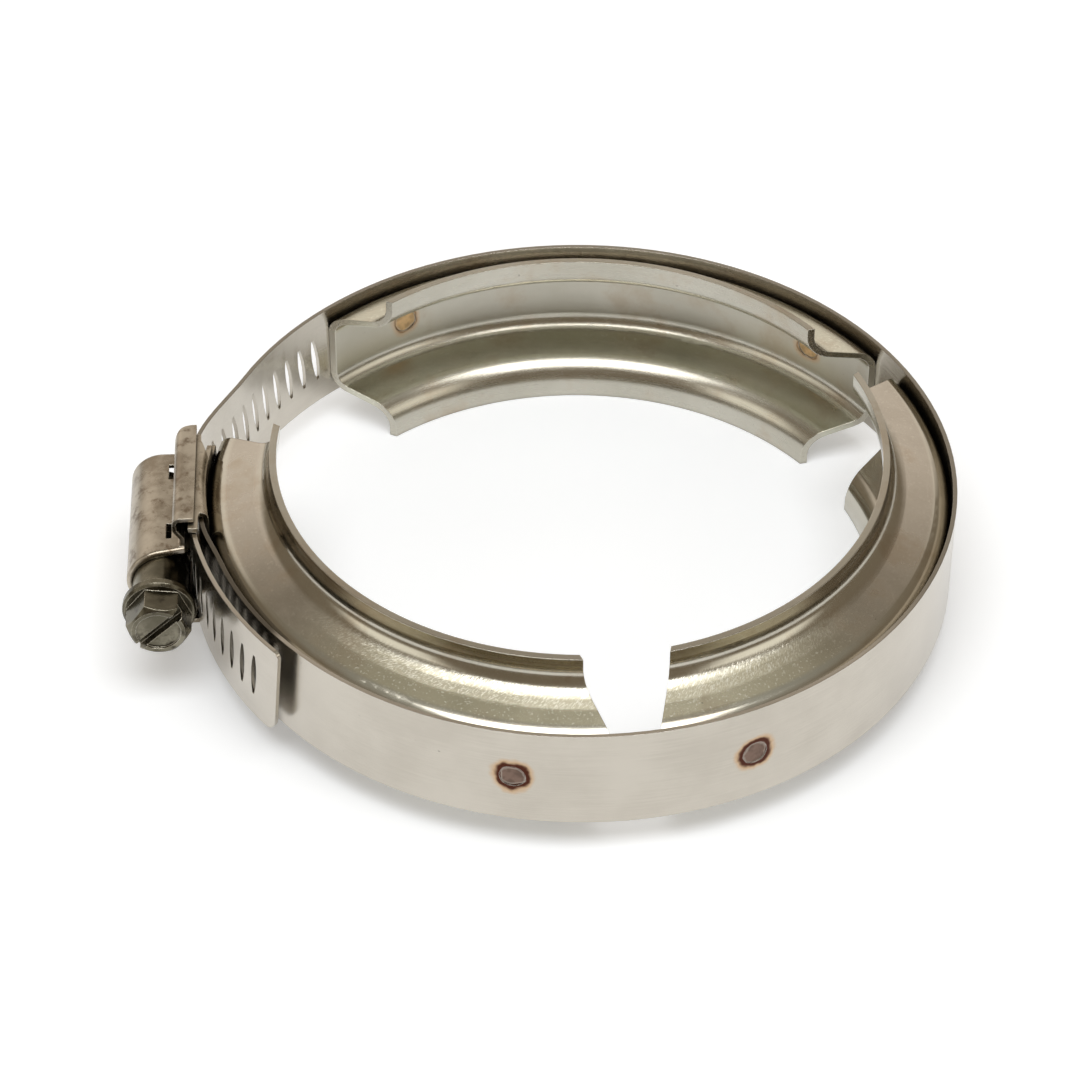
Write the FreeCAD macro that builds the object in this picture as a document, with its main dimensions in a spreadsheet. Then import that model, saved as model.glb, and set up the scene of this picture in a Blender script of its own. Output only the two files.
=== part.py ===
import FreeCAD, Part
import Sketcher
import math
import os

# Worm drive V-insert clamp: three hat-section segments spot-welded inside a slotted steel band,
# which a captive worm screw draws tight through a two-piece housing.
#
# Frame: origin on the ring's axis at the middle of the band's width, +Z along that axis.
# Azimuth 0 is +X. The housing sits near -X and its screw head points towards -Y.
# The housing's pieces are drawn at azimuth 0, with X outwards from the ring and Y towards
# the screw's head, and are then turned to the housing's azimuth.

DOC = FreeCAD.newDocument("WormDriveClamp")
SHEET = DOC.addObject("Spreadsheet::Sheet", "Sizes")

# Lengths are in millimetres and angles in degrees.
SIZES = {
    # band: how far each stretch reaches is told along the strip, from the housing's middle
    "band_inner_radius": 53.06,
    "band_sheet": 0.6,
    "band_width": 16.0,
    "fixed_end_reach": 5.4,
    "fixed_end_past_saddle": 0.8,
    "fixed_end_settling": 8.4,
    "strap_gap": 0.84,
    "strap_rise_start": 24.4,
    "strap_rise_length": 16.76,
    "tail_length": 38.2,
    "tail_low_corner_radius": 2.6,
    "tail_high_corner_radius": 0.9,
    # worm slots of the band
    "slotted_length": 42.1,
    "slot_length": 7.8,
    "slot_tip_width": 0.45,
    "slot_play": 0.3,
    "tail_land": 1.6,
    # V segments
    "segment_sheet": 1.0,
    "web_half_width": 5.6,
    "groove_depth": 9.12,
    "lip_length": 4.92,
    "flange_slope_angle": 14.5,
    "web_bend_radius": 2.3,
    "lip_bend_radius": 4.4,
    "end_cut_angle": 20.0,
    "weld_gap": 0.04,
    "rear_segment_middle_angle": 84.8,
    "rear_segment_span_angle": 101.5,
    "right_segment_middle_angle": -25.1,
    "right_segment_span_angle": 106.0,
    "left_segment_middle_angle": 222.5,
    "left_segment_span_angle": 105.8,
    "weld_inset_angle": 14.6,
    "weld_dent_radius": 1.8,
    "weld_dent_depth": 0.12,
    # saddle
    "housing_middle_angle": 183.2,
    "saddle_sheet": 0.7,
    "saddle_bend_radius": 0.4,
    "saddle_side_gap": 0.2,
    "saddle_base_gap": 0.05,
    "saddle_blank_spare": 0.8,
    "saddle_top_gap": 0.3,
    "saddle_wall_rear_inset": 1.0,
    "saddle_wall_front_inset": 1.3,
    "saddle_ear_length": 1.1,
    "saddle_ear_foot": 0.14,
    "saddle_ear_height": 1.1,
    "saddle_slope_height": 1.45,
    "saddle_slope_length": 4.6,
    "saddle_tongue_half_width": 6.0,
    "saddle_tongue_length": 2.1,
    "saddle_mouth_depth": 1.0,
    "saddle_tab_length": 2.3,
    "saddle_tab_foot": 0.19,
    "saddle_tab_height": 1.35,
    # housing shell
    "shell_sheet": 0.6,
    "shell_thread_gap": 0.15,
    "shell_strap_gap": 0.15,
    "shell_rear_cover": 0.4,
    "shell_front_cover": 2.3,
    "shell_foot_bend_radius": 1.0,
    "bead_height": 1.0,
    "bead_slope_width": 1.5,
    "bead_width": 1.55,
    "bead_saddle_gap": 0.35,
    "bead_skirt_drop": 1.5,
    "bead_bend_radius": 0.6,
    "bead_overhang": 1.2,
    "bead_corner_radius": 2.6,
    "lance_foot": 1.9,
    "lance_height": 0.8,
    "lance_length": 3.2,
    "lance_reach": 6.4,
    "front_neck_length": 2.3,
    "front_neck_lean": 1.8,
    "front_neck_edge_radius": 0.5,
    "rear_neck_length": 1.3,
    "rear_neck_margin": 0.35,
    "rear_neck_edge_radius": 0.75,
    # worm screw
    "thread_pitch": 3.0,
    "thread_crest_radius": 4.05,
    "thread_height": 1.1,
    "thread_crest_width": 0.7,
    "thread_flank_angle": 14.0,
    "thread_turns": 4.5,
    "thread_engagement": 0.3,
    "core_rear_margin": 1.7,
    "collar_front_margin": 1.4,
    "collar_play": 0.3,
    "collar_bearing_gap": 0.06,
    "collar_length": 9.0,
    "washer_overhang": 0.6,
    "washer_thickness": 1.6,
    "washer_edge_chamfer": 0.35,
    "hex_across_flats": 7.94,
    "hex_height": 4.2,
    "hex_turn_angle": 8.0,
    "hex_face_inset": 0.25,
    "hex_cone_angle": 40.0,
    "hex_cone_extra": 0.1,
    "face_rim_width": 0.6,
    "face_recess_depth": 0.35,
    "driver_slot_width": 1.3,
    "driver_slot_depth": 1.7,
    "driver_slot_angle": 136.4,
}

FULL_TURN = 360.0
TINY = 1e-6


def fill_sheet():
    """Writes one row for each size: its name and its value, with the name as alias."""
    for row, (name, value) in enumerate(SIZES.items(), start=1):
        SHEET.set("A%d" % row, name)
        SHEET.set("B%d" % row, str(value))
        SHEET.setAlias("B%d" % row, name)
    DOC.recompute()


def size(name):
    return float(SHEET.get(name))


def point(x, y, z=0.0):
    return FreeCAD.Vector(x, y, z)


def polar(radius, azimuth):
    turn = math.radians(azimuth)
    return point(radius * math.cos(turn), radius * math.sin(turn))


def open_polygon(corners):
    return [Part.LineSegment(a, b) for a, b in zip(corners, corners[1:])]


def polygon(corners):
    return open_polygon(corners + corners[:1])


def rounded_chain(points, radii):
    """Lines and arcs along a chain of points, with a fillet at each inner point."""
    pieces = []
    start = points[0]
    for before, corner, after, radius in zip(points, points[1:], points[2:], radii):
        back = (before - corner).normalize()
        ahead = (after - corner).normalize()
        half = back.getAngle(ahead) / 2
        entry = corner + back * (radius / math.tan(half))
        leave = corner + ahead * (radius / math.tan(half))
        inward = (back + ahead).normalize()
        middle = corner + inward * (radius / math.sin(half) - radius)
        if start.distanceToPoint(entry) > TINY:
            pieces.append(Part.LineSegment(start, entry))
        pieces.append(Part.Arc(entry, middle, leave))
        start = leave
    if start.distanceToPoint(points[-1]) > TINY:
        pieces.append(Part.LineSegment(start, points[-1]))
    return pieces


def chain_on_left(points, distance):
    """The same chain moved sideways, to its left, by a distance."""
    moved = []
    last = len(points) - 1
    for index, corner in enumerate(points):
        arriving = points[max(index, 1)] - points[max(index, 1) - 1]
        leaving = points[min(index, last - 1) + 1] - points[min(index, last - 1)]
        left_before = point(-arriving.y, arriving.x).normalize()
        left_after = point(-leaving.y, leaving.x).normalize()
        side = (left_before + left_after).normalize()
        moved.append(corner + side * (distance / side.dot(left_before)))
    return moved


def folded_sheet(points, radii, sheet):
    """Closed outline of a folded sheet that lies on the left of the chain, whose face has the radii."""
    far_radii = []
    for before, corner, after, radius in zip(points, points[1:], points[2:], radii):
        turns_left = (corner - before).cross(after - corner).z > 0
        far_radii.append(radius - sheet if turns_left else radius + sheet)
    far = chain_on_left(points, sheet)
    near_face = rounded_chain(points, radii)
    far_face = rounded_chain(far[::-1], far_radii[::-1])
    return near_face + [Part.LineSegment(points[-1], far[-1])] + far_face + [Part.LineSegment(far[0], points[0])]


def both_sides(half):
    """A chain that starts with the mirror image of a half chain and ends with the half."""
    return [point(corner.x, -corner.y) for corner in half[::-1]] + half


def new_body(label):
    body = DOC.addObject("PartDesign::Body", label)
    body.Label = label
    return body


def add_sketch(body, name, role, outline, offset=0.0, shift=0.0):
    """A sketch on one of the body's origin planes, moved along the plane's normal and first axis."""
    sketch = body.newObject("Sketcher::SketchObject", name)
    plane = [item for item in body.Origin.OriginFeatures if item.Role == role][0]
    sketch.AttachmentSupport = [(plane, "")]
    sketch.MapMode = "FlatFace"
    sketch.AttachmentOffset = FreeCAD.Placement(point(shift, 0, offset), FreeCAD.Rotation())
    for piece in outline:
        sketch.addGeometry(piece, False)
    DOC.recompute()
    return sketch


def add_feature(body, kind, name, sketch):
    feature = body.newObject("PartDesign::" + kind, name)
    feature.Profile = sketch
    return feature


def set_size(feature, name, value):
    """Ties a feature's size to the sheet, or sets it where it follows from several sizes."""
    if isinstance(value, str):
        feature.setExpression(name, value)
    else:
        setattr(feature, name, value)


def add_revolution(body, name, sketch, angle):
    feature = add_feature(body, "Revolution", name, sketch)
    feature.ReferenceAxis = (sketch, ["V_Axis"])
    feature.Midplane = True
    set_size(feature, "Angle", angle)
    DOC.recompute()
    return feature


def add_pad(body, name, sketch, length, reverse=False):
    feature = add_feature(body, "Pad", name, sketch)
    feature.Reversed = reverse
    set_size(feature, "Length", length)
    DOC.recompute()
    return feature


def add_pocket(body, name, sketch, length="", both_ways=False, reverse=False):
    """A pocket of a length, or through all, that has to take something away."""
    before = body.Shape.Volume
    feature = add_feature(body, "Pocket", name, sketch)
    if length:
        feature.setExpression("Length", length)
    else:
        feature.Type = "ThroughAll"
    feature.Midplane = both_ways
    feature.Reversed = reverse
    DOC.recompute()
    if not feature.Shape.Volume < before - TINY:
        raise RuntimeError(name + " takes nothing away")
    return feature


def cut_both_walls(body, name, outline, start):
    """Cuts an outline, drawn along the ring's axis, out of all that lies beyond +start and -start."""
    for side, end in (("top", 1), ("bottom", -1)):
        sketch = add_sketch(body, "%s_%s_outline" % (name, side), "XY_Plane", outline, end * start)
        add_pocket(body, "%s_%s" % (name, side), sketch, reverse=end > 0)


def turn_to(body, azimuth):
    """Turns a body about the ring's axis to an azimuth that the sheet gives."""
    body.setExpression("Placement.Rotation.Angle", azimuth)
    DOC.recompute()


fill_sheet()

# Each sheet lies on the one below it, outwards from the ring: the web of a segment, the saddle's
# base, the band's fixed end, the strap and the shell's foot.
BAND_INNER = size("band_inner_radius")
BAND_SHEET = size("band_sheet")
HALF_BAND = size("band_width") / 2
RING_RADIUS = BAND_INNER + BAND_SHEET / 2
WEB_OUTER = BAND_INNER - size("weld_gap")
WEB_INNER = WEB_OUTER - size("segment_sheet")
LIP_RADIUS = WEB_INNER - size("groove_depth")
SADDLE_TOP = BAND_INNER + size("saddle_sheet")
FIXED_END_RADIUS = SADDLE_TOP + size("saddle_base_gap") + BAND_SHEET / 2
STRAP_RADIUS = FIXED_END_RADIUS + BAND_SHEET + size("strap_gap")
STRAP_OUTER = STRAP_RADIUS + BAND_SHEET / 2
SHELL_FOOT = STRAP_OUTER + size("shell_strap_gap")
BEAD_UNDER = SHELL_FOOT + size("bead_height")
SEGMENT_SIDES = ("rear", "right", "left")

# Across the band's width, from its middle.
SADDLE_INSIDE = HALF_BAND + size("saddle_side_gap")
BEAD_SKIRT = SADDLE_INSIDE + size("saddle_sheet") + size("bead_saddle_gap")
BEAD_SLOPE_END = BEAD_SKIRT - size("bead_width")
BEAD_SLOPE_START = BEAD_SLOPE_END - size("bead_slope_width")

# Around the screw's axis, which stands so far out that the thread reaches into the strap's slots.
PITCH = size("thread_pitch")
CREST_RADIUS = size("thread_crest_radius")
CORE_RADIUS = CREST_RADIUS - size("thread_height")
SHELL_INNER = CREST_RADIUS + size("shell_thread_gap")
COLLAR_RADIUS = SHELL_INNER - size("collar_play")
SCREW_AXIS = STRAP_OUTER - size("thread_engagement") + CREST_RADIUS
LEAD_ANGLE = math.degrees(math.atan(PITCH / (2 * math.pi * CREST_RADIUS)))
SLOT_WIDTH = size("thread_crest_width") + 2 * size("slot_play")
HEX_CORNER = size("hex_across_flats") / 2 / math.cos(math.pi / 6)
HEX_FACE_RADIUS = size("hex_across_flats") / 2 - size("hex_face_inset")

# Along the screw, from the housing's middle towards the head.
THREAD_START = -(size("thread_turns") + 1 / 2) * PITCH / 2
THREAD_END = THREAD_START + size("thread_turns") * PITCH
CORE_REAR = THREAD_START - size("core_rear_margin")
COLLAR_START = THREAD_END + size("collar_front_margin")
WASHER_START = COLLAR_START + size("collar_length")
WASHER_END = WASHER_START + size("washer_thickness")
HEX_FACE = WASHER_END + size("hex_height")
SHELL_REAR = CORE_REAR - size("shell_rear_cover")
SHELL_FRONT = COLLAR_START + size("shell_front_cover")
WALL_REAR = SHELL_REAR + size("saddle_wall_rear_inset")
WALL_FRONT = SHELL_FRONT - size("saddle_wall_front_inset")
SADDLE_MOUTH = WALL_FRONT - size("saddle_mouth_depth")
TONGUE_END = WALL_REAR - size("saddle_tongue_length")

# Around the ring, as azimuths; the strip's azimuths count on past a full turn.
HOUSING = size("housing_middle_angle")


def arc_of(length, radius):
    return math.degrees(length / radius)


FIXED_START = HOUSING - arc_of(size("fixed_end_reach"), FIXED_END_RADIUS)
SETTLE_START = HOUSING + arc_of(SADDLE_MOUTH + size("fixed_end_past_saddle"), BAND_INNER)
SETTLE_END = SETTLE_START + arc_of(size("fixed_end_settling"), RING_RADIUS)
RISE_START = HOUSING + FULL_TURN - arc_of(size("strap_rise_start"), RING_RADIUS)
RISE_END = RISE_START + arc_of(size("strap_rise_length"), RING_RADIUS)
FIRST_SLOT = HOUSING + FULL_TURN - arc_of(size("slotted_length"), RING_RADIUS)
TAIL_END = HOUSING + FULL_TURN + arc_of(size("tail_length"), STRAP_RADIUS)


# The V segments are strips pressed to a hat section and rolled to the ring's radius. The web
# lies against the band, the flanges slope apart to wedge two pipe flanges together, and the
# lips stand parallel to the ring's axis.
def segment_outline():
    slope = math.radians(size("flange_slope_angle"))
    bend = size("web_half_width") + size("groove_depth") * math.tan(slope)
    half = [point(WEB_INNER, size("web_half_width")), point(LIP_RADIUS, bend),
            point(LIP_RADIUS, bend + size("lip_length"))]

    # A bend uses up sheet on both of its sides, so it is tighter where a lip or a flange is short.
    used = math.tan((math.pi / 2 - slope) / 2)
    flange = size("groove_depth") / math.cos(slope)
    lip_bend = min(size("lip_bend_radius"), size("lip_length") / used)
    web_bend = min(size("web_bend_radius"), size("web_half_width") / used, flange / used - lip_bend)
    return folded_sheet(both_sides(half)[::-1], [lip_bend, web_bend, web_bend, lip_bend], size("segment_sheet"))


def weld_azimuths(side):
    """Azimuths of a segment's two spot welds, from the segment's own middle."""
    reach = size(side + "_segment_span_angle") / 2 - size("weld_inset_angle")
    return [-reach, reach]


def build_segment(side):
    label = "v_segment_" + side
    body = new_body(label)
    section = add_sketch(body, label + "_section", "XZ_Plane", segment_outline())
    add_revolution(body, label + "_rolled", section, "Sizes." + side + "_segment_span_angle")

    half_span = size(side + "_segment_span_angle") / 2
    slant = size("end_cut_angle")
    for name, end in (("first", -1), ("last", 1)):
        corner = polar(WEB_OUTER, end * half_span)
        along = polar(2 * (WEB_OUTER - LIP_RADIUS), end * (half_span + slant))
        away = polar(WEB_OUTER - LIP_RADIUS, end * (half_span + slant + 90))
        outline = polygon([corner + along, corner - along, corner - along + away, corner + along + away])
        shear = add_sketch(body, "%s_%s_end" % (label, name), "XY_Plane", outline)
        add_pocket(body, "%s_%s_shear" % (label, name), shear, both_ways=True)

    # The welding tips leave a shallow round dent at each weld, in the web's inner face.
    floor = WEB_INNER + size("weld_dent_depth")
    for name, azimuth in zip(("first", "last"), weld_azimuths(side)):
        dent = body.newObject("PartDesign::SubtractiveCylinder", "%s_%s_dent" % (label, name))
        dent.setExpression("Radius", "Sizes.weld_dent_radius")
        dent.setExpression("Height", "Sizes.segment_sheet")
        dent.Placement = radial_placement(floor, azimuth, inwards=True)
        DOC.recompute()
    turn_to(body, "Sizes." + side + "_segment_middle_angle")
    return body


def radial_placement(radius, azimuth, inwards=False):
    """Puts something drawn on the XY plane at a radius, with its Z along the radius."""
    tilt = FreeCAD.Rotation(point(0, 1, 0), -90 if inwards else 90)
    return FreeCAD.Placement(polar(radius, azimuth), FreeCAD.Rotation(point(0, 0, 1), azimuth) * tilt)


# The band is one strip. It starts in the housing on the saddle, runs once round the ring, rises
# over its own fixed end, passes through the housing under the worm and ends as a free tail.
def smooth_step(share):
    share = min(max(share, 0.0), 1.0)
    return share * share * (3 - 2 * share)


def strip_radius(azimuth):
    """Radius of the strip's mid-line at an azimuth that counts on past a full turn."""
    settled = smooth_step((azimuth - SETTLE_START) / (SETTLE_END - SETTLE_START))
    risen = smooth_step((azimuth - RISE_START) / (RISE_END - RISE_START))
    ring = FIXED_END_RADIUS + (RING_RADIUS - FIXED_END_RADIUS) * settled
    return ring + (STRAP_RADIUS - RING_RADIUS) * risen


def strip_face(start, end, steps, side):
    """One edge of the strip's plan, side 1 outside and -1 inside: an arc, or a curve where it bends."""
    reach = side * BAND_SHEET / 2
    azimuths = [start + (end - start) * step / steps for step in range(steps + 1)]
    places = [polar(strip_radius(azimuth) + reach, azimuth) for azimuth in azimuths]
    if steps == 2:
        return Part.Arc(*places).toShape()
    curve = Part.BSplineCurve()
    curve.interpolate(Points=places, InitialTangent=polar(1, start + 90), FinalTangent=polar(1, end + 90))
    return curve.toShape()


def strip_solid():
    """The plan of the strip is a row of stretches, each extruded across the band's width."""
    tail = TAIL_END + tail_slant_arc()
    half_way = (SETTLE_END + RISE_START) / 2
    arc_steps = 2
    curve_steps = 8
    stretches = [(FIXED_START, SETTLE_START, arc_steps), (SETTLE_START, SETTLE_END, curve_steps),
                 (SETTLE_END, half_way, arc_steps), (half_way, RISE_START, arc_steps),
                 (RISE_START, RISE_END, curve_steps), (RISE_END, tail, arc_steps)]
    outside = [strip_face(start, end, steps, 1) for start, end, steps in stretches]
    inside = [strip_face(start, end, steps, -1) for start, end, steps in stretches]
    first_cap, last_cap = [Part.makeLine(polar(strip_radius(azimuth) - BAND_SHEET / 2, azimuth),
                                         polar(strip_radius(azimuth) + BAND_SHEET / 2, azimuth))
                           for azimuth in (FIXED_START, tail)]
    plan = Part.Face(Part.Wire(outside + [last_cap] + inside[::-1] + [first_cap]))
    plan.translate(point(0, 0, -HALF_BAND))
    return plan.extrude(point(0, 0, 2 * HALF_BAND))


def tail_slant_arc():
    """The tail's end is cut parallel to the slots, so its top reaches on by this arc."""
    return arc_of(HALF_BAND * math.tan(math.radians(LEAD_ANGLE)), STRAP_RADIUS)


def slot_azimuths():
    """Slots lie one pitch apart along the strip, from one right under the worm's middle."""
    under_worm = HOUSING + FULL_TURN
    last_slot = TAIL_END - arc_of(size("tail_land") + SLOT_WIDTH / 2, STRAP_RADIUS)
    found = [under_worm]
    for way in (-1, 1):
        azimuth = under_worm
        while True:
            half_way = azimuth + way * arc_of(PITCH / 2, strip_radius(azimuth))
            azimuth += way * arc_of(PITCH, strip_radius(half_way))
            if not FIRST_SLOT < azimuth < last_slot:
                break
            found.append(azimuth)
    return sorted(found)


def slot_cutter():
    """A lens with blunt tips, drawn flat and raised enough to pass through the band."""
    tip = size("slot_tip_width") / 2
    side = SLOT_WIDTH / 2
    end = size("slot_length") / 2
    corners = [point(-end, -tip), point(end, -tip), point(end, tip), point(-end, tip)]
    low = Part.Arc(corners[0], point(0, -side), corners[1]).toShape()
    high = Part.Arc(corners[2], point(0, side), corners[3]).toShape()
    tips = [Part.makeLine(corners[1], corners[2]), Part.makeLine(corners[3], corners[0])]
    lens = Part.Face(Part.Wire([low, tips[0], high, tips[1]]))
    lens.rotate(point(0, 0, 0), point(0, 0, 1), -LEAD_ANGLE)
    return lens.extrude(point(0, 0, 2 * BAND_SHEET))


def placed(shape, placement):
    copy = shape.copy()
    copy.Placement = placement
    return copy


def tail_waste():
    """What is trimmed off the tail: all beyond a slanted end with a large and a small corner."""
    lean = HALF_BAND * math.tan(math.radians(LEAD_ANGLE))
    back = -2 * HALF_BAND
    ends = [point(HALF_BAND, back), point(HALF_BAND, -lean), point(-HALF_BAND, lean), point(-HALF_BAND, back)]
    radii = [size("tail_low_corner_radius"), size("tail_high_corner_radius")]
    outline = [piece.toShape() for piece in rounded_chain(ends, radii)]
    outline.append(Part.makeLine(ends[-1], ends[0]))
    kept = Part.Face(Part.Wire(outline)).extrude(point(0, 0, 2 * BAND_SHEET))
    reach = 2 * HALF_BAND
    block = Part.makeBox(2 * reach, reach, 2 * BAND_SHEET, point(-reach, -HALF_BAND, 0))
    return block.cut(kept)


def build_band():
    strip = strip_solid()
    slots = [placed(slot_cutter(), radial_placement(strip_radius(azimuth) - BAND_SHEET, azimuth))
             for azimuth in slot_azimuths()]
    strip = strip.cut(Part.Compound(slots))
    strip = strip.cut(placed(tail_waste(), radial_placement(STRAP_RADIUS - BAND_SHEET, TAIL_END)))
    dents = []
    for side in SEGMENT_SIDES:
        for azimuth in weld_azimuths(side):
            place = (size(side + "_segment_middle_angle") + azimuth) % FULL_TURN
            if place < FIXED_START:
                place += FULL_TURN
            floor = strip_radius(place) + BAND_SHEET / 2 - size("weld_dent_depth")
            tip = Part.makeCylinder(size("weld_dent_radius"), BAND_SHEET / 2)
            dents.append(placed(tip, radial_placement(floor, place)))
    strip = strip.cut(Part.Compound(dents))
    band = DOC.addObject("Part::Feature", "band")
    band.Label = "band"
    band.Shape = strip.Solids[0] if len(strip.Solids) == 1 else strip
    return band


# The saddle is a channel under the band. Its base is welded between the band's fixed end and a
# segment, and its side walls stand beside the band and hold the shell's hooked edges.
def build_saddle():
    body = new_body("saddle")
    half = [point(SADDLE_TOP, SADDLE_INSIDE), point(BEAD_UNDER - size("saddle_top_gap"), SADDLE_INSIDE)]
    bend = size("saddle_bend_radius")
    channel = folded_sheet(both_sides(half), [bend, bend], size("saddle_sheet"))
    section = add_sketch(body, "saddle_section", "XZ_Plane", channel)
    tab_end = WALL_FRONT + size("saddle_tab_length")
    blank_half = math.degrees(math.asin((tab_end + size("saddle_blank_spare")) / BAND_INNER))
    add_revolution(body, "saddle_channel", section, 2 * blank_half)

    # The walls' rear edge has a small ear high up and a long slope below it.
    reach = tab_end + size("saddle_tongue_length")
    low = BAND_INNER - reach
    high = BAND_INNER + reach
    behind = -2 * reach
    ear_end = WALL_REAR - size("saddle_ear_length")
    ear_low = SADDLE_TOP + size("saddle_ear_foot")
    ear_high = ear_low + size("saddle_ear_height")
    slope_low = ear_low - size("saddle_slope_height")
    slope_end = WALL_REAR + size("saddle_slope_length")
    rear_edge = [point(high, WALL_REAR), point(ear_high, WALL_REAR), point(ear_high, ear_end), point(ear_low, ear_end),
                 point(ear_low, WALL_REAR), point(slope_low, slope_end), point(low, slope_end), point(low, behind),
                 point(high, behind)]
    wall_foot = SADDLE_INSIDE - bend
    cut_both_walls(body, "saddle_rear_edge", polygon(rear_edge), wall_foot)

    # Behind the walls the base goes on as a narrower tongue.
    beside = polygon([point(low, WALL_REAR), point(SADDLE_TOP, WALL_REAR), point(SADDLE_TOP, behind), point(low, behind)])
    cut_both_walls(body, "saddle_tongue_side", beside, size("saddle_tongue_half_width"))
    beyond = polygon([point(low, TONGUE_END), point(SADDLE_TOP, TONGUE_END), point(SADDLE_TOP, behind), point(low, behind)])
    add_pocket(body, "saddle_tongue_end", add_sketch(body, "saddle_tongue_outline", "XY_Plane", beyond), both_ways=True)

    # In front the walls carry a tab each, and the base ends sooner so that the band can leave.
    ahead = 2 * reach
    tab_low = SADDLE_TOP + size("saddle_tab_foot")
    tab_high = tab_low + size("saddle_tab_height")
    front_edge = [point(high, WALL_FRONT), point(tab_high, WALL_FRONT), point(tab_high, tab_end), point(tab_low, tab_end),
                  point(tab_low, WALL_FRONT), point(SADDLE_TOP, SADDLE_MOUTH), point(low, SADDLE_MOUTH),
                  point(low, ahead), point(high, ahead)]
    cut_both_walls(body, "saddle_front_edge", polygon(front_edge), wall_foot)
    mouth = polygon([point(low, SADDLE_MOUTH), point(SADDLE_TOP, SADDLE_MOUTH), point(SADDLE_TOP, ahead), point(low, ahead)])
    add_pocket(body, "saddle_mouth", add_sketch(body, "saddle_mouth_outline", "XY_Plane", mouth), both_ways=True)
    turn_to(body, "Sizes.housing_middle_angle")
    return body


# The shell is stamped from one sheet: a dome over the worm, a foot on each side that rests over
# the strap, and a rolled bead that hooks over the saddle's wall. Its ends are necked in.
def shell_outline():
    half = [point(SCREW_AXIS + SHELL_INNER, SHELL_INNER), point(SHELL_FOOT, SHELL_INNER),
            point(SHELL_FOOT, BEAD_SLOPE_START), point(BEAD_UNDER, BEAD_SLOPE_END), point(BEAD_UNDER, BEAD_SKIRT),
            point(SHELL_FOOT - size("bead_skirt_drop"), BEAD_SKIRT)]
    bead = size("bead_bend_radius")
    slope_turn = math.atan(size("bead_height") / size("bead_slope_width"))
    foot_room = (BEAD_SLOPE_START - SHELL_INNER) / (1 + math.tan(slope_turn / 2))
    foot = min(size("shell_foot_bend_radius"), foot_room)
    radii = [bead, bead, foot, foot, SHELL_INNER]
    return folded_sheet(both_sides(half)[::-1], radii + radii[::-1], size("shell_sheet"))


def arch(radius):
    """Half round the screw's axis, and straight down to the shell's foot on both sides."""
    ends = [point(SHELL_FOOT, -radius), point(SCREW_AXIS, -radius), point(SCREW_AXIS, radius), point(SHELL_FOOT, radius)]
    return [Part.LineSegment(ends[0], ends[1]), Part.Arc(ends[1], point(SCREW_AXIS + radius, 0), ends[2]),
            Part.LineSegment(ends[2], ends[3])]


def add_front_neck(body):
    """The front neck bears on the screw's collar, and its end leans back towards the strap."""
    outer = SHELL_INNER + size("shell_sheet")
    bore = COLLAR_RADIUS + size("collar_bearing_gap")
    end = SHELL_FRONT + size("front_neck_length")
    section = arch(outer) + arch(bore)
    section += [Part.LineSegment(point(SHELL_FOOT, side * outer), point(SHELL_FOOT, side * bore)) for side in (1, -1)]
    add_pad(body, "front_neck", add_sketch(body, "front_neck_section", "XZ_Plane", section, -end),
            "Sizes.front_neck_length")

    crown = SCREW_AXIS + outer
    foot_end = end - size("front_neck_lean")
    beyond = end + size("front_neck_length")
    waste = polygon([point(crown, end), point(SHELL_FOOT, foot_end), point(SHELL_FOOT, beyond), point(crown, beyond)])
    slant = add_sketch(body, "front_neck_slant", "XY_Plane", waste)
    trimmed = add_pocket(body, "front_neck_trim", slant, both_ways=True)

    # The trimmed end's outer edge is rolled over.
    lean = size("front_neck_lean") / (crown - SHELL_FOOT)
    rolled = []
    for number, edge in enumerate(trimmed.Shape.Edges, start=1):
        places = edge.discretize(5)
        slanted = all(abs(place.y - end + (crown - place.x) * lean) < TINY for place in places)
        if slanted and all(arch_distance(place) > outer - TINY for place in places):
            rolled.append("Edge%d" % number)
    fillet = body.newObject("PartDesign::Fillet", "front_neck_edge")
    fillet.Base = (trimmed, rolled)
    fillet.setExpression("Radius", "Sizes.front_neck_edge_radius")
    DOC.recompute()


def arch_distance(place):
    """How far out from the middle of an arch a place lies."""
    if place.x < SCREW_AXIS:
        return abs(place.z)
    return math.hypot(place.x - SCREW_AXIS, place.z)


def add_neck(body, name, start, end, mouth_radius):
    """A neck is spun half round the screw, carried straight down on both sides, and closes in to a mouth."""
    outer = SHELL_INNER + size("shell_sheet")
    corners = [point(SHELL_INNER, start), point(outer, start), point(outer, end), point(mouth_radius, end)]
    profile = rounded_chain(corners[1:], [size("rear_neck_edge_radius")])
    profile += open_polygon([corners[3], corners[0], corners[1]])
    spun = add_sketch(body, name + "_profile", "XY_Plane", profile, shift=SCREW_AXIS)
    add_revolution(body, name + "_spun", spun, FULL_TURN / 2)

    # The same profile stands on both sides of the screw: across the screw it is drawn as Y and Z.
    for side, end_sign in (("top", 1), ("bottom", -1)):
        turned = [piece.copy() for piece in profile]
        for piece in turned:
            piece.transform(side_profile_matrix(end_sign))
        leg = add_sketch(body, "%s_%s_profile" % (name, side), "YZ_Plane", turned, SCREW_AXIS)
        add_pad(body, "%s_%s_leg" % (name, side), leg, SCREW_AXIS - SHELL_FOOT, reverse=True)


def side_profile_matrix(sign):
    """Takes a profile's radius to the sketch's second axis, and its place along the screw to the first."""
    matrix = FreeCAD.Matrix()
    matrix.A11, matrix.A12 = 0, 1
    matrix.A21, matrix.A22 = sign, 0
    matrix.A33 = -sign
    return matrix


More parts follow.
